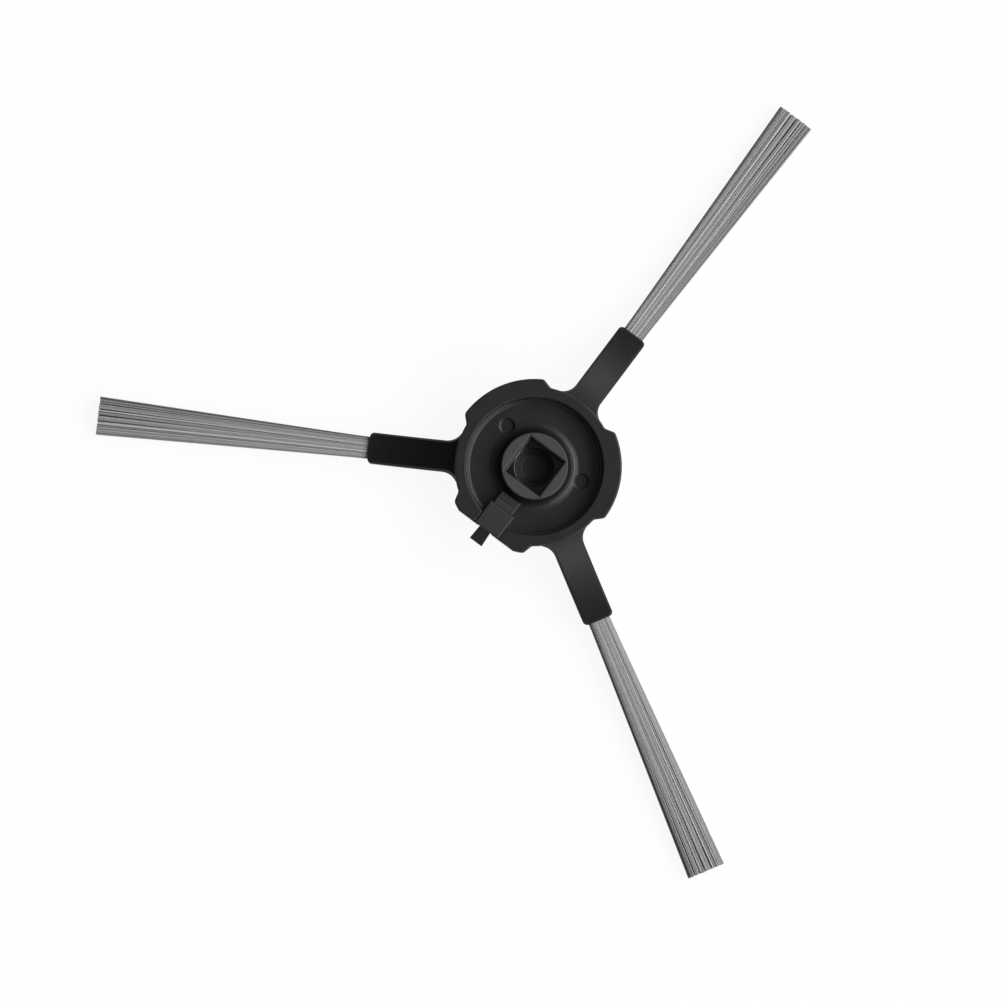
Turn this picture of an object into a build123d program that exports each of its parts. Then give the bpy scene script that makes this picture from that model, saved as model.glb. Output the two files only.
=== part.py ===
from build123d import *
import os
from math import cos, hypot, radians, sin, sqrt, tan

# Side brush of a robot vacuum: a rigid hub, three soft arms, three bristle tufts and a catch.
# Millimetres. The origin is the middle of the drive socket's mouth, on the axis that the brush
# spins about. +Z points out of the socket, and +X runs along the arm opposite the catch.

# Drive socket and boss
socket_flats = 7.5
socket_lead_in = 0.3
socket_depth = 4.6
bore_radius = 3.4
bore_length = 3.0
bore_cone_width = 1.2
bore_cone_height = 0.7
sole_thickness = 1.6
boss_radius = 5.95
boss_chamfer = 0.2

# Rim with its three lobes
arm_count = 3
rim_radius = 14.1
rim_width = 2.05
lobe_height = 1.35
lobe_half_angle = 29.5
lobe_ramp_angle = 5.5
lobe_corner = 0.9
rim_drop = 0.4
rim_thickness = 2.8
rim_chamfer = 0.2
lip_chamfer = 0.25

# Dish between the boss and the rim, and the marks in its floor
dish_depth = 4.0
boss_root_round = 1.9
boss_root_facets = 4
ledge_width = 0.5
ledge_height = 0.25
mark_circle = 8.7
mark_angle = 70.0
mark_radius = 1.3
mark_depth = 0.6

# Underside
skirt_inset = 0.65
floor_thickness = 1.3
sole_radius = 6.8
sole_chamfer = 0.4

# Arms
arm_width = 5.5
arm_thickness = 3.6
arm_reach = 29.5
arm_step = 1.0
arm_root_slope = 30.0
arm_tip_slope = 2.0
arm_hidden_turn = 8.0
arm_root_round = 2.9
arm_root_blunt = 0.5
arm_corner = 0.8
arm_chamfer = 0.35
key_length = 1.2
key_neck = 3.0
key_head = 4.0
key_height = 1.2

# Tufts
tuft_reach = 77.7
tuft_root_width = 3.9
tuft_root_height = 2.1
tuft_tip_width = 6.85
tuft_tip_height = 3.0
filament_width = 0.3
filament_columns = 11
filament_rows = 4
filament_sides = 6
heel_length = 2.0
heel_depth = 5.5
pocket_clearance = 0.06

# Catch and its slot
catch_width = 5.3
catch_inner = 9.4
catch_proud = 0.15
catch_flat_depth = 1.2
slot_floor_thickness = 0.56
catch_clearance = 0.03
catch_chamfer = 0.25
nose_width = 4.3
nose_steps = 2
nose_inner = 6.6
nose_fall = 1.0
tab_width = 2.3
tab_tip_width = 2.6
tab_reach = 16.9
tab_offset = 0.3
tab_thickness = 1.2
tab_drop = 0.7
tab_slope = 20.0
tab_relief = 0.15

# Levels and places that follow from the sizes above
dish_radius = rim_radius - rim_width
lobe_radius = rim_radius + lobe_height
catch_flat = lobe_radius - catch_flat_depth
rim_z = -rim_drop
rim_under_z = rim_z - rim_thickness
dish_floor_z = -dish_depth
bore_floor_z = -socket_depth - bore_length
sole_z = bore_floor_z - sole_thickness
skirt_radius = rim_radius - skirt_inset
skirt_z = dish_floor_z - floor_thickness
cut_top_z = boss_radius
arm_pitch = 360 / arm_count

# The arm's side view is a band between two arcs about one centre, which lies above the arm.
arm_root_z = rim_z - arm_step
arm_radius = (arm_reach - rim_radius) / (sin(radians(arm_root_slope)) - sin(radians(arm_tip_slope)))
arm_centre_x = rim_radius + arm_radius * sin(radians(arm_root_slope))
arm_centre_z = arm_root_z + arm_radius * cos(radians(arm_root_slope))

slot_inner = dish_radius - ledge_width
slot_floor_z = rim_under_z + slot_floor_thickness
catch_top_z = rim_z + catch_proud
catch_seat_z = dish_floor_z - ledge_height

# An edge that lies this near to a radius, level or plane counts as being on it.
tolerance = 0.01


def arm_point(radius, slope):
    """Point of the arm's side view at this distance from the arcs' centre."""
    angle = radians(slope)
    return (arm_centre_x - radius * sin(angle), arm_centre_z - radius * cos(angle))


def polar(radius, degrees_round):
    angle = radians(degrees_round)
    return (radius * cos(angle), radius * sin(angle))


def side_face(*edges):
    """Face in the XZ plane from edges drawn as (distance along X, height)."""
    return Plane.XZ * make_face([edge for part in edges for edge in part.edges()])


def around(part, step):
    return Rot(0, 0, step * arm_pitch) * part


def lobe_outline(middle):
    ends = [
        polar(rim_radius, middle - lobe_half_angle - lobe_ramp_angle),
        polar(lobe_radius, middle - lobe_half_angle),
        polar(lobe_radius, middle + lobe_half_angle),
        polar(rim_radius, middle + lobe_half_angle + lobe_ramp_angle),
    ]
    crest = ThreePointArc(ends[1], polar(lobe_radius, middle), ends[2])
    rest = Polyline(ends[2], ends[3], (0, 0), ends[0], ends[1])
    return make_face([*crest.edges(), *rest.edges()])


def rim_outline():
    outline = Sketch() + Circle(rim_radius)
    for step in range(arm_count):
        outline += lobe_outline((step + 0.5) * arm_pitch)
    beyond = lobe_radius
    outline -= Pos(-catch_flat - beyond / 2, 0) * Rectangle(beyond, 2 * lobe_radius)
    return fillet(outline.vertices(), lobe_corner)


def hub_blank():
    """The hub with its dish, socket and slots still filled."""
    section = Polyline(
        (0, sole_z),
        (sole_radius, sole_z),
        (sole_radius, skirt_z),
        (skirt_radius, skirt_z),
        (skirt_radius, rim_under_z),
        (lobe_radius, rim_under_z),
        (lobe_radius, rim_z),
        (dish_radius, rim_z),
        (boss_radius, 0),
        (0, 0),
        close=True,
    )
    turned = revolve(side_face(section), Axis.Z)
    turned = chamfer(circles_at(turned, sole_radius, sole_z), sole_chamfer)
    prism = extrude(Pos(0, 0, sole_z) * rim_outline(), -sole_z)
    return turned & prism


def circles_at(part, radius, height):
    return [
        edge
        for edge in part.edges().filter_by(GeomType.CIRCLE)
        if abs(edge.radius - radius) < tolerance and abs(edge.arc_center.Z - height) < tolerance
    ]


def boss_root():
    """Points of the round between the boss and the dish's floor, from the top down."""
    for facet in range(boss_root_facets + 1):
        x, z = polar(boss_root_round, 180 + 90 * facet / boss_root_facets)
        yield boss_radius + boss_root_round + x, dish_floor_z + boss_root_round + z


def dish():
    """Ring-shaped hollow with a level floor that ends at a small ledge."""
    section = Polyline(
        *boss_root(),
        (slot_inner, dish_floor_z),
        (slot_inner, dish_floor_z + ledge_height),
        (dish_radius, dish_floor_z + ledge_height),
        (dish_radius, cut_top_z),
        (boss_radius, cut_top_z),
        close=True,
    )
    return revolve(side_face(section), Axis.Z)


def drive_socket():
    square = extrude(Rectangle(socket_flats, socket_flats), -socket_depth)
    mouth = socket_flats + 2 * socket_lead_in
    narrow = Pos(0, 0, -socket_lead_in) * Rectangle(socket_flats, socket_flats)
    lead_in = loft([Rectangle(mouth, mouth).face(), narrow.face()])
    return square + lead_in + drive_bore()


def drive_bore():
    """Round well below the square, with a shallow cone round its floor."""
    section = Polyline(
        (0, bore_floor_z),
        (bore_radius - bore_cone_width, bore_floor_z),
        (bore_radius, bore_floor_z + bore_cone_height),
        (bore_radius, -socket_depth),
        (0, -socket_depth),
        close=True,
    )
    return revolve(side_face(section), Axis.Z)


def floor_mark(degrees_round):
    x, y = polar(mark_circle, degrees_round)
    sink = Cylinder(mark_radius, 2 * mark_depth)
    return Pos(x, y, dish_floor_z) * sink


def arm_key():
    """Tongue that widens inwards, moulded into the rim's wall."""
    inner = rim_radius - key_length
    outer = rim_radius + arm_chamfer
    plan = Polyline(
        (inner, -key_head / 2),
        (outer, -key_neck / 2),
        (outer, key_neck / 2),
        (inner, key_head / 2),
        close=True,
    )
    middle_z = (arm_root_z + rim_under_z) / 2
    return Pos(0, 0, middle_z - key_height / 2) * extrude(make_face(plan), key_height)


def catch_slot():
    outer = lobe_radius + rim_chamfer
    width = catch_width + 2 * catch_clearance
    block = Box(outer - slot_inner, width, -slot_floor_z)
    return Pos((slot_inner + outer) / -2, 0, slot_floor_z / 2) * block


def tab_reliefs():
    """Small rounded nicks in the flat, on both sides of the tab."""
    nick = Cylinder(tab_relief, -2 * rim_under_z)
    beside = (tab_width + tab_relief) / 2
    return [Pos(-catch_flat, tab_offset + side * beside, rim_under_z) * nick for side in (-1, 1)]


def rim_top_edges(part):
    """Outer edges of the rim's level face, the highest one below the boss's end."""
    levels = part.faces().filter_by(Plane.XY).sort_by(Axis.Z)
    return levels[-2].outer_wire().edges()


def hub(blank):
    body = chamfer(rim_top_edges(blank), rim_chamfer)
    body -= dish()
    body = chamfer(circles_at(body, dish_radius, rim_z), lip_chamfer)
    body = chamfer(circles_at(body, boss_radius, 0), boss_chamfer)
    body -= drive_socket()
    body -= [floor_mark(side * mark_angle) for side in (-1, 1)]
    body -= [around(arm_key(), step) for step in range(arm_count)]
    body -= catch_slot()
    body -= tab_reliefs()
    return body


def arm_plan():
    """Arm seen from above, with its root flaring into the rim."""
    half = arm_width / 2
    centre_y = half + arm_root_round
    centre_x = sqrt((rim_radius + arm_root_round) ** 2 - centre_y**2)
    flare_y = centre_y * rim_radius / (rim_radius + arm_root_round) - arm_root_blunt
    flare_x = centre_x - sqrt(arm_root_round**2 - (centre_y - flare_y) ** 2)
    inner = dish_radius - arm_thickness
    outer = arm_reach + arm_corner
    sides = []
    for side in (-1, 1):
        start = (flare_x, side * flare_y)
        end = (centre_x, side * half)
        sides.append(RadiusArc(start, end, -side * arm_root_round))
        sides.append(Line((inner, side * flare_y), start))
        sides.append(Line(end, (outer, side * half)))
    sides.append(Line((inner, -flare_y), (inner, flare_y)))
    sides.append(Line((outer, -half), (outer, half)))
    return make_face([edge for side in sides for edge in side.edges()])


def arm_side():
    """Arm seen from the side: a curved band from inside the rim that flattens towards its end."""
    radii = (arm_radius, arm_radius + arm_thickness)
    end_slopes = (arm_root_slope + arm_hidden_turn, arm_tip_slope)
    slopes = (end_slopes[0], sum(end_slopes) / 2, end_slopes[1])
    arcs = [ThreePointArc(*[arm_point(radius, slope) for slope in slopes]) for radius in radii]
    ends = [Line(*[arm_point(radius, slope) for radius in radii]) for slope in end_slopes]
    return side_face(*arcs, *ends)


def tuft_plane():
    """Plane of the arm's end: local X across the arm, local Z out along the tuft."""
    x, z = arm_point(arm_radius + arm_thickness / 2, arm_tip_slope)
    angle = radians(arm_tip_slope)
    return Plane(origin=(x, 0, z), x_dir=(0, 1, 0), z_dir=(cos(angle), 0, -sin(angle)))


def tuft_pocket():
    section = Rectangle(tuft_root_width + 2 * pocket_clearance, tuft_root_height + 2 * pocket_clearance)
    return tuft_plane() * (Pos(0, 0, -heel_depth) * extrude(section, heel_depth + arm_corner))


def arm(blank):
    body = extrude(arm_side(), lobe_radius, both=True) & extrude(arm_plan(), 2 * sole_z, both=True)
    body = fillet([edge for edge in body.edges() if is_end_corner(edge)], arm_corner)
    outside = [edge for edge in body.edges() if edge.position_at(0.5).X > rim_radius]
    body = chamfer([edge for edge in outside if lies_on_arc(edge)], arm_chamfer)
    above_seat = extrude(Pos(0, 0, rim_under_z) * Circle(rim_radius), arm_radius)
    return body - blank - above_seat + arm_key() - tuft_pocket()


def is_end_corner(edge):
    """True for one of the two upright edges at the arm's outer end."""
    at_end = edge.position_at(0.5).X > arm_reach - arm_corner
    return at_end and edge.bounding_box().size.Y < tolerance


def lies_on_arc(edge):
    """True for an edge of the arm's upper or under face."""
    points = [edge.position_at(share) for share in (0.1, 0.5, 0.9)]
    reaches = [hypot(p.X - arm_centre_x, p.Z - arm_centre_z) - arm_radius for p in points]
    return any(all(abs(reach - depth) < tolerance for reach in reaches) for depth in (0, arm_thickness))


def filament_places():
    """Place of each filament across the bundle, from -1 to 1 both ways, in staggered rows."""
    for row in range(filament_rows):
        indent = row % 2
        for column in range(filament_columns - indent):
            u = 2 * (column + indent / 2) / (filament_columns - 1) - 1
            yield u, 2 * row / (filament_rows - 1) - 1


def filament(u, v, length):
    """Straight filament from the heel to the tuft's cut end."""
    back = heel_depth - heel_length
    root = (u * (tuft_root_width - filament_width) / 2, v * (tuft_root_height - filament_width) / 2)
    tip = (u * (tuft_tip_width - filament_width) / 2, v * (tuft_tip_height - filament_width) / 2)
    lean = [(tip[i] - root[i]) / length for i in (0, 1)]
    start = [root[i] - lean[i] * back for i in (0, 1)]
    section = Pos(*start, -back) * RegularPolygon(filament_width / 2, filament_sides)
    run = length + back
    return extrude(section, run * sqrt(1 + lean[0] ** 2 + lean[1] ** 2), dir=(*lean, 1))


def tuft():
    plane = tuft_plane()
    length = (tuft_reach - plane.origin.X) / cos(radians(arm_tip_slope))
    heel = Pos(0, 0, -heel_depth) * extrude(Rectangle(tuft_root_width, tuft_root_height), heel_length)
    strands = [filament(u, v, length) for u, v in filament_places()]
    return plane * (heel + strands)


def catch_block(inner, width, top):
    """Block from this distance out to the flat, with the edges of its top chamfered."""
    size = (catch_flat - inner, width, top - catch_seat_z)
    block = Pos((inner + catch_flat) / 2, 0, (top + catch_seat_z) / 2) * Box(*size)
    return chamfer(block.faces().sort_by(Axis.Z)[-1].edges(), catch_chamfer)


def catch_tab():
    inner = catch_flat - tab_thickness
    top = catch_top_z - tab_drop
    fall = (tab_reach - catch_flat) * tan(radians(tab_slope))
    section = Polyline(
        (inner, top),
        (catch_flat, top),
        (tab_reach, top - fall),
        (tab_reach, top - fall - tab_thickness),
        (catch_flat, top - tab_thickness),
        (inner, top - tab_thickness),
        close=True,
    )
    plan = Polyline(
        (inner, -tab_width / 2),
        (catch_flat, -tab_width / 2),
        (tab_reach, -tab_tip_width / 2),
        (tab_reach, tab_tip_width / 2),
        (catch_flat, tab_width / 2),
        (inner, tab_width / 2),
        close=True,
    )
    band = extrude(side_face(section), tab_tip_width, both=True)
    tab = band & extrude(make_face(plan), catch_seat_z, both=True)
    return Pos(0, tab_offset, 0) * Rot(0, 0, 180) * tab


def catch(hub_part):
    body = catch_block(catch_inner, catch_width, catch_top_z)
    tread = (catch_inner - nose_inner) / nose_steps
    for step in range(1, nose_steps + 1):
        body += catch_block(catch_inner - step * tread, nose_width, catch_top_z - step * nose_fall)
    depth = slot_floor_z - catch_seat_z
    below_slot = Box(lobe_radius, catch_width, depth)
    body -= Pos(slot_inner + lobe_radius / 2, 0, slot_floor_z - depth / 2) * below_slot
    body = Rot(0, 0, 180) * body
    body -= tab_reliefs()
    body += catch_tab()
    return body - hub_part


os.makedirs("parts", exist_ok=True)
blank_part = hub_blank()
hub_part = hub(blank_part)
arm_part = arm(blank_part)
tuft_part = tuft()
export_step(hub_part, "parts/hub.step")
export_step(catch(hub_part), "parts/catch.step")
for step in range(arm_count):
    export_step(around(arm_part, step), f"parts/arm_{step + 1}.step")
    export_step(around(tuft_part, step), f"parts/tuft_{step + 1}.step")
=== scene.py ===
import math
import random
from collections import namedtuple

import bpy
import numpy as np
from mathutils import Matrix, Vector


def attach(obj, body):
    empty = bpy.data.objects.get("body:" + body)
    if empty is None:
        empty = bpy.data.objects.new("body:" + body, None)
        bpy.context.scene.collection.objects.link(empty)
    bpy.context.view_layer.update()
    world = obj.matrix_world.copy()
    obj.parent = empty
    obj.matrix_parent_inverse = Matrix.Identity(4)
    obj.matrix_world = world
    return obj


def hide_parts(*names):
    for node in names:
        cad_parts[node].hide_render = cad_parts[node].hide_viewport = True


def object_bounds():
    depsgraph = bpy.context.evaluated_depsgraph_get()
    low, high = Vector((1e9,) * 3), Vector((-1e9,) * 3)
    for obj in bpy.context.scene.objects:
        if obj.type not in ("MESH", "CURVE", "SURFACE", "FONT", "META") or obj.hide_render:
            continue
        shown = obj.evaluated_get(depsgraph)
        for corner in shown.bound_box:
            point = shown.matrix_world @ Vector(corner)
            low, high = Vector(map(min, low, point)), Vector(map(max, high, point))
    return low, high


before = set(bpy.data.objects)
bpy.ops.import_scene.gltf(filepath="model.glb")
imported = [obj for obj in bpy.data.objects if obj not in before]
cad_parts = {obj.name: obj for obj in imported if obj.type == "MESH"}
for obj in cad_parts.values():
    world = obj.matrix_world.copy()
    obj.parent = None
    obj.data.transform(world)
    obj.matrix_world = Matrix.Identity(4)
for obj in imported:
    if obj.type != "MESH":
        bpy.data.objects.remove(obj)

# Looks of the side brush: camera, light, materials and fine bristles. Metres, +Z up.

# Camera: the photo looks down on the drive side, turned about the spin axis and tilted a little.
PHOTO_TURN = math.radians(53.17)
PIXEL = 0.0001766
PIXELS = 1001
HUB_PIXEL = (534.6, 466.0)
TILT = math.radians(2.2)
TILT_TOWARDS = (-0.45, -0.89)
LENS = 400.0
SENSOR = 36.0

# Light: a large soft lamp, placed by the photo's right, up and height, and a fill from all round.
LAMP_TOWARDS = (0.69, -0.09, 0.72)
LAMP_DISTANCE = 1.8
LAMP_SIZE = (1.2, 3.15)
LAMP_POWER = 54.0
FILL_FROM_LEFT = 0.04
FILL_FROM_RIGHT = 0.34

# Floor
FLOOR_HALF = 2.0
FLOOR_GREY = 0.95
FLOOR_WHITE_SHARE = 0.92

# Zones of the hub within its sole's reach that hold painted light or shade and a gloss of their own, as
# (height, share of the zone), and the softness of the hub's edges by height
SOLE_REACH = 0.0069
ZONE_SPAN = 0.01
# Boss face: painted sheen, a paler tone standing in for the light on its flat top; its roughness is its
# own.
PAINTED_SHEEN_BOSS_FACE = [(-0.0003, 0), (-0.00015, 1)]
# Socket floor: painted shade, a darker tone standing in for the shade down in the socket; its gloss is its
# own.
PAINTED_SHADE_SOCKET_FLOOR = [(-0.0048, 0), (-0.0047, 1), (-0.0045, 1), (-0.0044, 0)]
# Bore end: painted light, a paler tone standing in for the light that reaches the bottom of the bore; its
# roughness is its own.
PAINTED_LIGHT_BORE_END = [(-0.0055, 1), (-0.005, 0)]
HUB_EDGES = [(-0.0015, 0.0004), (-0.001, 0.00018)]

# Most of a noise texture's values lie between these two.
NOISE_LOW = 0.3
NOISE_HIGH = 0.7

# Bristles: the bundle of filaments
ARM_COUNT = 3
LAYERS = 7
PER_LAYER = 36
FILAMENT_RADIUS = 0.0001
RINGS = 13
SIDES = 6
END_DEPTH = 0.0004
HEEL_HIDDEN = 0.0035
POCKET_MOUTH = 0.0055
FLARE = 1.05
EDGE_ROUND = 8
TIP_SPREAD = 0.0001

# Bristles: how filaments stray, and every other layer's shift, in steps between filaments or layers
SEED = 100
STAGGER = 0.5
STRAY_ACROSS = 0.25
STRAY_OUTER_LAYER = 0.2
STRAY_INNER_LAYER = 0.5

# Bristles: the partings towards the tip, by place across the bundle from -1 to 1
PARTINGS = (-0.65, -0.35, -0.05, 0.3)
PARTING_HALF = 0.045
PARTING_REACH = 0.12
PARTING_LATE = 0.8
PARTING_LATER = 0.6
OUTER_LAYERS = 2
INNER_SHIFT = (0.12, 0.2)

RIGHT = Vector((math.cos(PHOTO_TURN), -math.sin(PHOTO_TURN), 0))
UP = Vector((math.sin(PHOTO_TURN), math.cos(PHOTO_TURN), 0))
HIGH = Vector((0, 0, 1))

Mould = namedtuple("Mould", "material tree shader edge_radius")
Tuft = namedtuple("Tuft", "heel tip along side over heel_halves tip_halves")


def look_from(obj, place, target, up):
    """Puts an object at a place with its -Z axis towards the target."""
    back = (place - target).normalized()
    right = up.cross(back).normalized()
    turn = Matrix((right, back.cross(right), back)).transposed()
    obj.matrix_world = Matrix.Translation(place) @ turn.to_4x4()


def add_object(name, data):
    obj = bpy.data.objects.new(name, data)
    bpy.context.scene.collection.objects.link(obj)
    return obj


def add_camera():
    data = bpy.data.cameras.new("camera")
    data.lens = LENS
    data.sensor_width = SENSOR
    camera = add_object("camera", data)
    middle = PIXELS / 2
    target = (middle - HUB_PIXEL[0]) * PIXEL * RIGHT - (middle - HUB_PIXEL[1]) * PIXEL * UP
    lean = TILT_TOWARDS[0] * RIGHT + TILT_TOWARDS[1] * UP
    away = (HIGH + math.tan(TILT) * lean.normalized()).normalized()
    distance = PIXELS * PIXEL * LENS / SENSOR
    look_from(camera, target + distance * away, target, UP)
    bpy.context.scene.camera = camera


def add_lamp():
    data = bpy.data.lights.new("side", "AREA")
    data.shape = "RECTANGLE"
    data.size, data.size_y = LAMP_SIZE
    data.energy = LAMP_POWER
    way = LAMP_TOWARDS[0] * RIGHT + LAMP_TOWARDS[1] * UP + LAMP_TOWARDS[2] * HIGH
    look_from(add_object("side", data), LAMP_DISTANCE * way.normalized(), Vector((0, 0, 0)), UP)


def add_world():
    """Soft fill, weaker from the left of the photo than from its right. The camera sees white."""
    world = bpy.data.worlds.new("studio")
    bpy.context.scene.world = world
    world.use_nodes = True
    tree = world.node_tree
    tree.nodes.clear()
    output = tree.nodes.new("ShaderNodeOutputWorld")
    mix = tree.nodes.new("ShaderNodeMixShader")
    soft = tree.nodes.new("ShaderNodeBackground")
    white = tree.nodes.new("ShaderNodeBackground")
    path = tree.nodes.new("ShaderNodeLightPath")
    soft.inputs["Strength"].default_value = 1.0
    white.inputs["Color"].default_value = (1, 1, 1, 1)
    white.inputs["Strength"].default_value = 1.0
    fill = add_ramp(tree, add_rightness(tree), [(0.0, FILL_FROM_LEFT), (1.0, FILL_FROM_RIGHT)])
    tree.links.new(fill, soft.inputs["Color"])
    tree.links.new(path.outputs["Is Camera Ray"], mix.inputs["Fac"])
    tree.links.new(soft.outputs["Background"], mix.inputs[1])
    tree.links.new(white.outputs["Background"], mix.inputs[2])
    tree.links.new(mix.outputs["Shader"], output.inputs["Surface"])


def add_rightness(tree):
    """How far a direction of the world points to the photo's right, from 0 to 1."""
    way = tree.nodes.new("ShaderNodeTexCoord")
    turned = tree.nodes.new("ShaderNodeMapping")
    parts = tree.nodes.new("ShaderNodeSeparateXYZ")
    turned.inputs["Rotation"].default_value = (0, 0, PHOTO_TURN)
    turned.inputs["Scale"].default_value = (0.5, 0.5, 0.5)
    turned.inputs["Location"].default_value = (0.5, 0.5, 0.5)
    tree.links.new(way.outputs["Generated"], turned.inputs["Vector"])
    tree.links.new(turned.outputs["Vector"], parts.inputs["Vector"])
    return parts.outputs["X"]


def new_tree(name):
    """Material with its nodes cleared to an output."""
    material = bpy.data.materials.new(name)
    material.use_nodes = True
    tree = material.node_tree
    tree.nodes.clear()
    output = tree.nodes.new("ShaderNodeOutputMaterial")
    return material, tree, output


def new_material(name):
    """Material with its nodes cleared to a Principled shader and an output."""
    material, tree, output = new_tree(name)
    shader = tree.nodes.new("ShaderNodeBsdfPrincipled")
    tree.links.new(shader.outputs["BSDF"], output.inputs["Surface"])
    return material, tree, shader


def add_noise(tree, scale, detail):
    place = tree.nodes.new("ShaderNodeTexCoord")
    noise = tree.nodes.new("ShaderNodeTexNoise")
    noise.inputs["Scale"].default_value = scale
    noise.inputs["Detail"].default_value = detail
    tree.links.new(place.outputs["Object"], noise.inputs["Vector"])
    return noise.outputs["Fac"]


def add_ramp(tree, source, stops):
    """Colour ramp with stops given as (position, grey)."""
    ramp = tree.nodes.new("ShaderNodeValToRGB")
    points = ramp.color_ramp.elements
    while len(points) < len(stops):
        points.new(0.5)
    for point, (position, grey) in zip(points, stops):
        point.position = position
        point.color = (grey, grey, grey, 1)
    tree.links.new(source, ramp.inputs["Fac"])
    return ramp.outputs["Color"]


def add_spread(tree, noise, lowest, highest):
    """Spreads a noise between two values."""
    return add_ramp(tree, noise, [(NOISE_LOW, lowest), (NOISE_HIGH, highest)])


def add_height_ramp(tree, stops):
    """Ramp with stops given as (height, grey), for heights from the origin down to ZONE_SPAN below it."""
    place = tree.nodes.new("ShaderNodeTexCoord")
    scaled = tree.nodes.new("ShaderNodeMapping")
    parts = tree.nodes.new("ShaderNodeSeparateXYZ")
    scaled.inputs["Scale"].default_value = (0, 0, 1 / ZONE_SPAN)
    scaled.inputs["Location"].default_value = (0, 0, 1)
    tree.links.new(place.outputs["Object"], scaled.inputs["Vector"])
    tree.links.new(scaled.outputs["Vector"], parts.inputs["Vector"])
    return add_ramp(tree, parts.outputs["Z"], [(1 + height / ZONE_SPAN, grey) for height, grey in stops])


def add_boss_mask(tree, stops):
    """Mask over height that holds only within the boss and the sole below it."""
    place = tree.nodes.new("ShaderNodeTexCoord")
    scaled = tree.nodes.new("ShaderNodeMapping")
    length = tree.nodes.new("ShaderNodeVectorMath")
    within = tree.nodes.new("ShaderNodeMath")
    mask = tree.nodes.new("ShaderNodeMath")
    length.operation = "LENGTH"
    within.operation = "LESS_THAN"
    mask.operation = "MULTIPLY"
    scaled.inputs["Scale"].default_value = (1 / SOLE_REACH, 1 / SOLE_REACH, 0)
    within.inputs[1].default_value = 1.0
    tree.links.new(place.outputs["Object"], scaled.inputs["Vector"])
    tree.links.new(scaled.outputs["Vector"], length.inputs[0])
    tree.links.new(length.outputs["Value"], within.inputs[0])
    tree.links.new(within.outputs["Value"], mask.inputs[0])
    tree.links.new(add_height_ramp(tree, stops), mask.inputs[1])
    return mask.outputs["Value"]


def add_bump(tree, shader, height, strength, distance):
    bump = tree.nodes.new("ShaderNodeBump")
    bump.inputs["Strength"].default_value = strength
    bump.inputs["Distance"].default_value = distance
    tree.links.new(height, bump.inputs["Height"])
    tree.links.new(bump.outputs["Normal"], shader.inputs["Normal"])
    return bump


def add_soft_edges(tree, bump):
    """Rounds the edges of the shading, as a moulded edge is never quite sharp. Gives back its radius."""
    bevel = tree.nodes.new("ShaderNodeBevel")
    bevel.samples = 8
    tree.links.new(bevel.outputs["Normal"], bump.inputs["Normal"])
    return bevel.inputs["Radius"]


def mix_greys(tree, mask, plain, other):
    mix = tree.nodes.new("ShaderNodeMixRGB")
    tree.links.new(mask, mix.inputs["Fac"])
    tree.links.new(plain, mix.inputs["Color1"])
    tree.links.new(other, mix.inputs["Color2"])
    return mix.outputs["Color"]


def moulded(name, greys, roughness, specular, grain, grain_depth):
    """Black moulded material: uneven tone and gloss, a fine grain, and soft edges of a radius to set."""
    material, tree, shader = new_material(name)
    cloud = add_noise(tree, scale=220, detail=3)
    fine = add_noise(tree, scale=grain, detail=4)
    tree.links.new(add_spread(tree, cloud, *greys), shader.inputs["Base Color"])
    tree.links.new(add_spread(tree, fine, *roughness), shader.inputs["Roughness"])
    shader.inputs["Specular IOR Level"].default_value = specular
    bump = add_bump(tree, shader, fine, strength=0.2, distance=grain_depth)
    return Mould(material, tree, shader, add_soft_edges(tree, bump))


def painted_light_and_gloss_zone(mould, stops, greys, roughness):
    """Gives a band of heights within the boss painted light or shade in its tone, and a gloss of its own.
    """
    tree = mould.tree
    mask = add_boss_mask(tree, stops)
    zone_noise = add_noise(tree, scale=900, detail=5)
    for name, ends in (("Base Color", greys), ("Roughness", roughness)):
        socket = mould.shader.inputs[name]
        plain = socket.links[0].from_socket
        other = add_spread(tree, zone_noise, *ends)
        tree.links.new(mix_greys(tree, mask, plain, other), socket)


def hub_plastic():
    """Satin black: a paler, rougher boss face as painted sheen, a darker, smoother socket floor as painted
    shade, a paler, coarser bore end as painted light, and softer low edges.
    """
    mould = moulded(
        "hub_plastic",
        greys=(0.01, 0.015),
        roughness=(0.31, 0.36),
        specular=0.5,
        grain=5000,
        grain_depth=0.00001,
    )
    # Painted sheen on the boss face: a paler tone for the light on its flat top.
    painted_light_and_gloss_zone(mould, PAINTED_SHEEN_BOSS_FACE, greys=(0.034, 0.043), roughness=(0.5, 0.6))
    # Painted shade on the socket floor: a darker tone for the shade in the socket.
    painted_light_and_gloss_zone(mould, PAINTED_SHADE_SOCKET_FLOOR, greys=(0.003, 0.005), roughness=(0.16, 0.2))
    # Painted light at the bore end: a paler tone for the light down in the bore.
    painted_light_and_gloss_zone(mould, PAINTED_LIGHT_BORE_END, greys=(0.022, 0.028), roughness=(0.42, 0.5))
    mould.tree.links.new(add_height_ramp(mould.tree, HUB_EDGES), mould.edge_radius)
    return mould.material


def arm_rubber():
    """Dull black rubber, darker than the hub."""
    mould = moulded(
        "arm_rubber",
        greys=(0.003, 0.0045),
        roughness=(0.33, 0.39),
        specular=0.36,
        grain=3500,
        grain_depth=0.00002,
    )
    mould.edge_radius.default_value = 0.00004
    return mould.material


def catch_plastic():
    """Black plastic with a duller, paler sheen than the hub's."""
    mould = moulded(
        "catch_plastic",
        greys=(0.008, 0.011),
        roughness=(0.42, 0.48),
        specular=0.65,
        grain=5000,
        grain_depth=0.00001,
    )
    mould.edge_radius.default_value = 0.0002
    return mould.material


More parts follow.
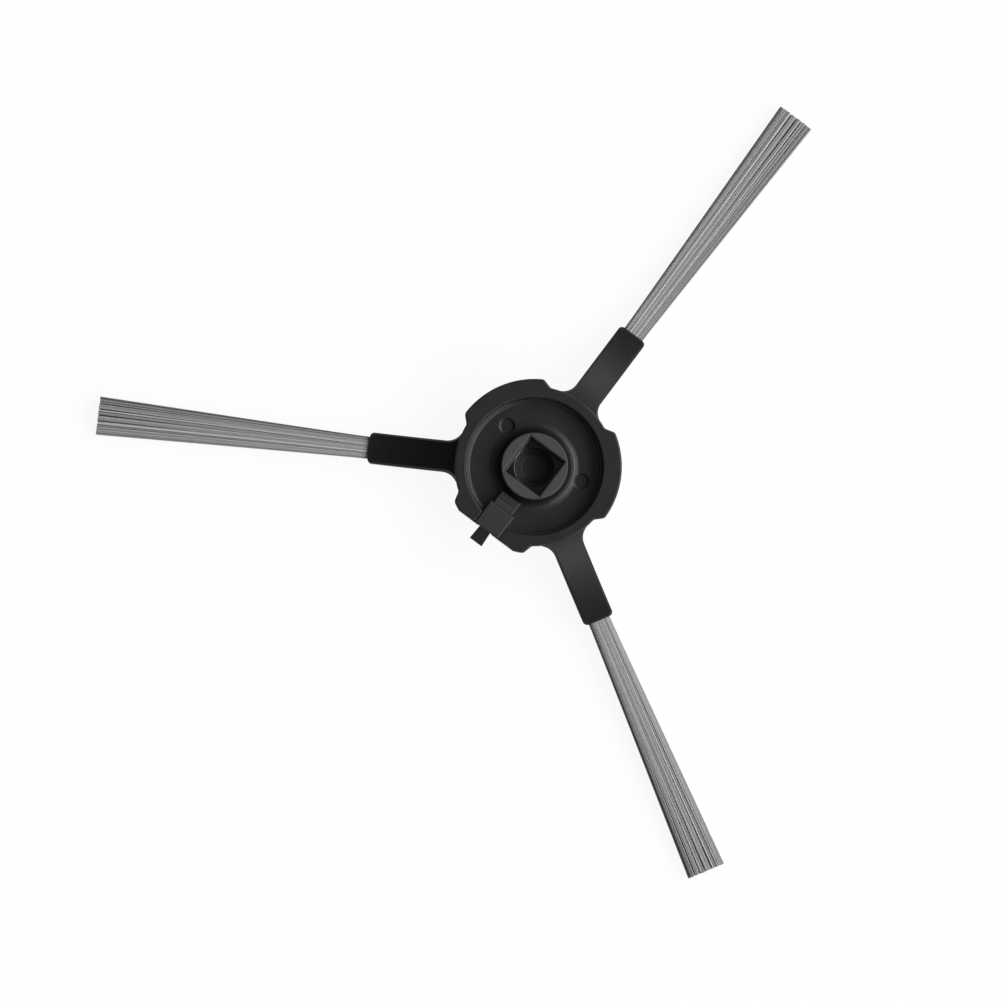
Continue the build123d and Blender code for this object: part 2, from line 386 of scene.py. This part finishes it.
def bristle_nylon():
    """Grey nylon, with a tone of its own for each filament."""
    material, tree, shader = new_material("bristle_nylon")
    geometry = tree.nodes.new("ShaderNodeNewGeometry")
    island = geometry.outputs["Random Per Island"]
    tone = add_ramp(tree, island, [(0.0, 0.085), (0.25, 0.24), (0.75, 0.345), (1.0, 0.56)])
    fine = add_noise(tree, scale=1500, detail=2)
    tree.links.new(tone, shader.inputs["Base Color"])
    tree.links.new(add_spread(tree, fine, lowest=0.42, highest=0.55), shader.inputs["Roughness"])
    shader.inputs["Specular IOR Level"].default_value = 0.25
    add_bump(tree, shader, fine, strength=0.1, distance=0.00001)
    return material


def paper():
    """White floor. The camera sees it as white, with a share of its shading for the shadow."""
    material, tree, output = new_tree("floor")
    plain = tree.nodes.new("ShaderNodeBsdfDiffuse")
    white = tree.nodes.new("ShaderNodeEmission")
    shown = tree.nodes.new("ShaderNodeMixShader")
    chosen = tree.nodes.new("ShaderNodeMixShader")
    path = tree.nodes.new("ShaderNodeLightPath")
    plain.inputs["Color"].default_value = (FLOOR_GREY, FLOOR_GREY, FLOOR_GREY, 1)
    white.inputs["Color"].default_value = (1, 1, 1, 1)
    white.inputs["Strength"].default_value = 1.0
    shown.inputs["Fac"].default_value = FLOOR_WHITE_SHARE
    tree.links.new(plain.outputs["BSDF"], shown.inputs[1])
    tree.links.new(white.outputs["Emission"], shown.inputs[2])
    tree.links.new(path.outputs["Is Camera Ray"], chosen.inputs["Fac"])
    tree.links.new(plain.outputs["BSDF"], chosen.inputs[1])
    tree.links.new(shown.outputs["Shader"], chosen.inputs[2])
    tree.links.new(chosen.outputs["Shader"], output.inputs["Surface"])
    return material


def add_floor(height):
    mesh = bpy.data.meshes.new("floor")
    corners = [(x * FLOOR_HALF, y * FLOOR_HALF, height) for x, y in ((-1, -1), (1, -1), (1, 1), (-1, 1))]
    mesh.from_pydata(corners, [], [(0, 1, 2, 3)])
    mesh.materials.append(paper())
    floor = add_object("floor", mesh)


def measure_tuft(node, step):
    """Ends, directions and half sizes across and over of a tuft, measured on its CAD node."""
    points = np.array([v.co for v in node.data.vertices])
    turn = 2 * math.pi * step / ARM_COUNT
    out = np.array((math.cos(turn), math.sin(turn), 0))
    side = np.array((-math.sin(turn), math.cos(turn), 0))
    reach = points @ out
    ends = [points[reach < reach.min() + END_DEPTH], points[reach > reach.max() - END_DEPTH]]
    heel, tip = [(end.min(0) + end.max(0)) / 2 for end in ends]
    along = (tip - heel) / np.linalg.norm(tip - heel)
    over = np.cross(along, side)
    halves = []
    for end, middle in zip(ends, (heel, tip)):
        halves.append([abs((end - middle) @ way).max() for way in (side, over)])
    return Tuft(heel, tip, along, side, over, *halves)


def layer_partings(layer, chance):
    """Places across a layer where it parts towards the tip, each with how late along the tuft it opens."""
    inner = OUTER_LAYERS <= layer < LAYERS - OUTER_LAYERS
    shift = chance.uniform(*INNER_SHIFT) if inner else 0
    return [(place + shift, PARTING_LATE + PARTING_LATER * i) for i, place in enumerate(PARTINGS)]


def filament_places(chance):
    """Place of each filament across and up the bundle, from -1 to 1, with the partings of its layer."""
    for layer in range(LAYERS):
        stray = STRAY_OUTER_LAYER if layer in (0, LAYERS - 1) else STRAY_INNER_LAYER
        partings = layer_partings(layer, chance)
        for i in range(PER_LAYER):
            column = i + STAGGER * (layer % 2) + chance.uniform(-STRAY_ACROSS, STRAY_ACROSS)
            across = 2 * column / (PER_LAYER - STAGGER) - 1
            height = 2 * (layer + chance.uniform(-stray, stray)) / (LAYERS - 1) - 1
            across, height = [max(-1, min(1, value)) for value in (across, height)]
            yield across, height * (1 - abs(across) ** EDGE_ROUND) ** 0.5, partings


def parted(across, share, partings):
    """Place across after the filament has moved away from the partings beside it."""
    moved = across
    for place, late in partings:
        push = PARTING_HALF * share**late * math.exp(-abs(across - place) / PARTING_REACH)
        moved += math.copysign(push, across - place)
    return max(-1, min(1, moved))


def filament_paths(step, tuft):
    """Centre line of each filament, from inside the arm to its cut end."""
    chance = random.Random(SEED + step)
    length = np.linalg.norm(tuft.tip - tuft.heel)
    for across, height, partings in filament_places(chance):
        end = length + chance.uniform(-TIP_SPREAD, TIP_SPREAD)
        path = []
        for ring in range(RINGS):
            t = HEEL_HIDDEN + (end - HEEL_HIDDEN) * ring / (RINGS - 1)
            share = max(0.0, (t - POCKET_MOUTH) / (length - POCKET_MOUTH)) ** FLARE
            wide, tall = [
                at_heel + (at_tip - at_heel) * share - FILAMENT_RADIUS
                for at_heel, at_tip in zip(tuft.heel_halves, tuft.tip_halves)
            ]
            place = parted(across, share, partings)
            path.append(tuft.heel + t * tuft.along + place * wide * tuft.side + height * tall * tuft.over)
        yield path


def tube(path, side, over, points, faces):
    """Adds a closed tube round the path to the lists of points and faces."""
    first = len(points)
    for place in path:
        for i in range(SIDES):
            angle = 2 * math.pi * i / SIDES
            points.append(place + FILAMENT_RADIUS * (math.cos(angle) * side + math.sin(angle) * over))
    for ring in range(len(path) - 1):
        low = first + ring * SIDES
        for i in range(SIDES):
            j = (i + 1) % SIDES
            faces.append((low + i, low + j, low + SIDES + j, low + SIDES + i))
    last = first + (len(path) - 1) * SIDES
    faces.append(tuple(first + i for i in reversed(range(SIDES))))
    faces.append(tuple(last + i for i in range(SIDES)))


def mark_cut_ends(mesh):
    """Keeps the edges of the filaments' ends sharp, so that the shading doesn't turn towards the ends."""
    for edge in mesh.edges:
        rings = {vertex // SIDES % RINGS for vertex in edge.vertices}
        edge.use_edge_sharp = rings in ({0}, {RINGS - 1})


def add_bristles(step, material):
    """Fine filaments in place of a tuft's CAD node."""
    node = f"tuft_{step + 1}"
    tuft = measure_tuft(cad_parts[node], step)
    points, faces = [], []
    for path in filament_paths(step, tuft):
        tube(path, tuft.side, tuft.over, points, faces)
    mesh = bpy.data.meshes.new(f"bristles_{step + 1}")
    mesh.from_pydata([tuple(point) for point in points], [], faces)
    mesh.polygons.foreach_set("use_smooth", [len(face) == 4 for face in faces])
    mark_cut_ends(mesh)
    mesh.materials.append(material)
    bristles = add_object(f"bristles_{step + 1}", mesh)
    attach(bristles, "root")
    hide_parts(node)


def paint(node, material):
    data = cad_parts[node].data
    data.materials.clear()
    data.materials.append(material)


cad_low, cad_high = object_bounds()
bpy.context.scene.view_settings.view_transform = "Standard"
add_camera()
add_world()
add_lamp()
add_floor(cad_low[2])

paint("hub", hub_plastic())
paint("catch", catch_plastic())
rubber = arm_rubber()
nylon = bristle_nylon()
for step in range(ARM_COUNT):
    paint(f"arm_{step + 1}", rubber)
    add_bristles(step, nylon)
